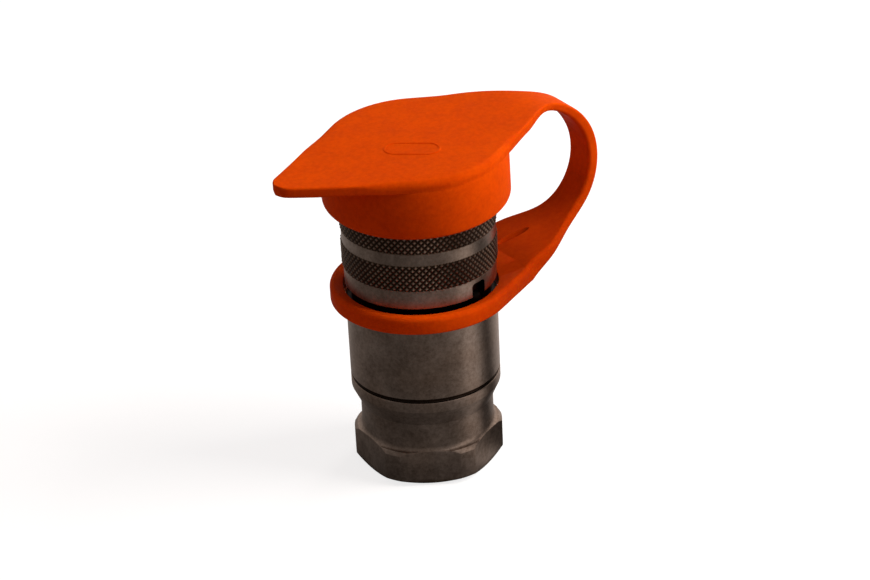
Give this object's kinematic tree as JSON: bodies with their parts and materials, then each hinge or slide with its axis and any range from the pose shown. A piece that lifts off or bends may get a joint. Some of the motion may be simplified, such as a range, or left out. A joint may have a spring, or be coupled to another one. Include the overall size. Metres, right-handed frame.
{
  "type": "flat face quick coupler",
  "caption": "Hydraulic flat face quick coupler, female half: threaded hexagon end, barrel, knurled spring-loaded locking sleeve and a strap-held dust cap.",
  "frame": {"origin": "centre of the threaded port's mouth, in the hexagon's end face", "axes": "+Z along the coupler's axis from the threaded port to the flat mating face; +X the way the dust cap's strap leaves"},
  "size_m": [0.0898, 0.0455, 0.0881],
  "materials": {
    "plated_steel": "dark zinc-nickel plate, satin",
    "plated_sleeve": "dark zinc-nickel plate, knurled",
    "spring_steel": "drawn spring wire",
    "bearing_steel": "polished balls",
    "valve_steel": "fine turned and plated",
    "seal_rubber": "black nitrile",
    "backup_plastic": "white sealing plastic",
    "cap_plastic": "soft orange moulding"
  },
  "bodies": {
    "body": {"rear_adapter": "plated_steel", "front_body": "plated_steel", "sleeve_spring": "spring_steel", "sleeve_stop_ring": "spring_steel", "sleeve_lock_ball": "bearing_steel", "retainer_spring": "spring_steel", "valve_spring": "spring_steel", "valve_stem": "valve_steel", "stem_seal": "seal_rubber", "stem_spider": "valve_steel", "stem_nut": "valve_steel", "spider_retaining_ring": "spring_steel", "nipple_seal": "seal_rubber", "nipple_backup_ring": "backup_plastic", "valve_seal": "seal_rubber", "valve_backup_ring": "backup_plastic", "body_seal": "seal_rubber", "locking_ball_01": "bearing_steel", "locking_ball_02": "bearing_steel", "locking_ball_03": "bearing_steel", "locking_ball_04": "bearing_steel", "locking_ball_05": "bearing_steel", "locking_ball_06": "bearing_steel", "locking_ball_07": "bearing_steel", "locking_ball_08": "bearing_steel", "locking_ball_09": "bearing_steel", "locking_ball_10": "bearing_steel", "locking_ball_11": "bearing_steel", "locking_ball_12": "bearing_steel"},
    "sleeve": {"locking_sleeve": "plated_sleeve"},
    "valve": {"valve_sleeve": "valve_steel"},
    "retainer": {"ball_retainer": "valve_steel"},
    "cap": {"dust_cap": "cap_plastic"}
  },
  "joints": [
    {"name": "sleeve_pull", "type": "slide", "parent": "body", "child": "sleeve", "axis": [0, 0, 1], "range_m": [-0.0024, 0], "stiffness_N_per_m": 2000, "springref_m": 0.004, "deforming": ["sleeve_spring"]},
    {"name": "valve_push", "type": "slide", "parent": "body", "child": "valve", "axis": [0, 0, 1], "range_m": [-0.0125, 0], "stiffness_N_per_m": 1000, "springref_m": 0.004, "deforming": ["valve_spring"]},
    {"name": "retainer_push", "type": "slide", "parent": "body", "child": "retainer", "axis": [0, 0, 1], "range_m": [-0.0125, 0], "stiffness_N_per_m": 1000, "springref_m": 0.004, "deforming": ["retainer_spring"]},
    {"name": "cap_lift", "type": "slide", "parent": "body", "child": "cap", "axis": [0, 0, 1], "range_m": [0, 0.0125]}
  ]
}
